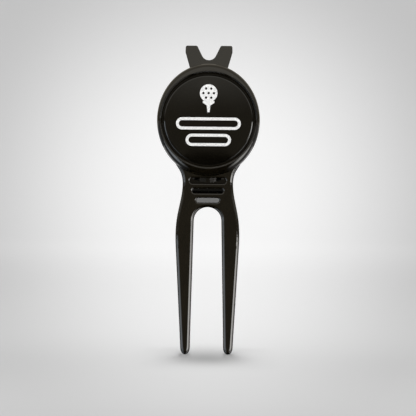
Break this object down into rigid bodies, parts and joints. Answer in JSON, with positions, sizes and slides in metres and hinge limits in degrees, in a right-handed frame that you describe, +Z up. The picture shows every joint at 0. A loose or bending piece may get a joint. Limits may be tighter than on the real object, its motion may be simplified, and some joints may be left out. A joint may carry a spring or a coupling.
{
  "type": "divot repair tool",
  "caption": "Two-pronged golf divot tool with a ringed head, lift-out magnetic ball marker and a sprung clip with a notched thumb tab.",
  "frame": {"origin": "midway between the two prong tips, in the middle of the blade's thickness", "axes": "+Z up the tool from the prong tips to the thumb tab, +X to the right seen from the marker's side, -Y out of the marker's face"},
  "size_m": [0.0286, 0.0152, 0.0861],
  "materials": {
    "body_paint": "gloss black lacquer on die-cast zinc",
    "clip_paint": "gloss black lacquer on die-cast zinc",
    "enamel": "gloss black enamel, slightly domed",
    "print": "silver-white print",
    "coin_steel": "nickel-plated steel",
    "magnet": "nickel-plated neodymium",
    "pin_steel": "turned steel",
    "spring_steel": "spring wire"
  },
  "bodies": {
    "tool": {"fork_body": "body_paint", "magnet": "magnet", "hinge_pin": "pin_steel", "torsion_spring": "spring_steel"},
    "marker": {"marker_base": "coin_steel", "marker_enamel": "enamel", "marker_emblem": "print", "marker_upper_field": "print", "marker_lower_field": "print"},
    "clip": {"clip_lever": "clip_paint"}
  },
  "joints": [
    {"name": "marker_lift", "type": "slide", "parent": "tool", "child": "marker", "axis": [0, -1, 0], "range_m": [0, 0.012]},
    {"name": "clip_hinge", "type": "hinge", "parent": "tool", "child": "clip", "pos_m": [0, 0.0046, 0.066], "axis": [1, 0, 0], "range_deg": [0, 22], "stiffness_Nm_per_rad": 0.08, "springref_deg": -20.05, "deforming": ["torsion_spring"]}
  ]
}
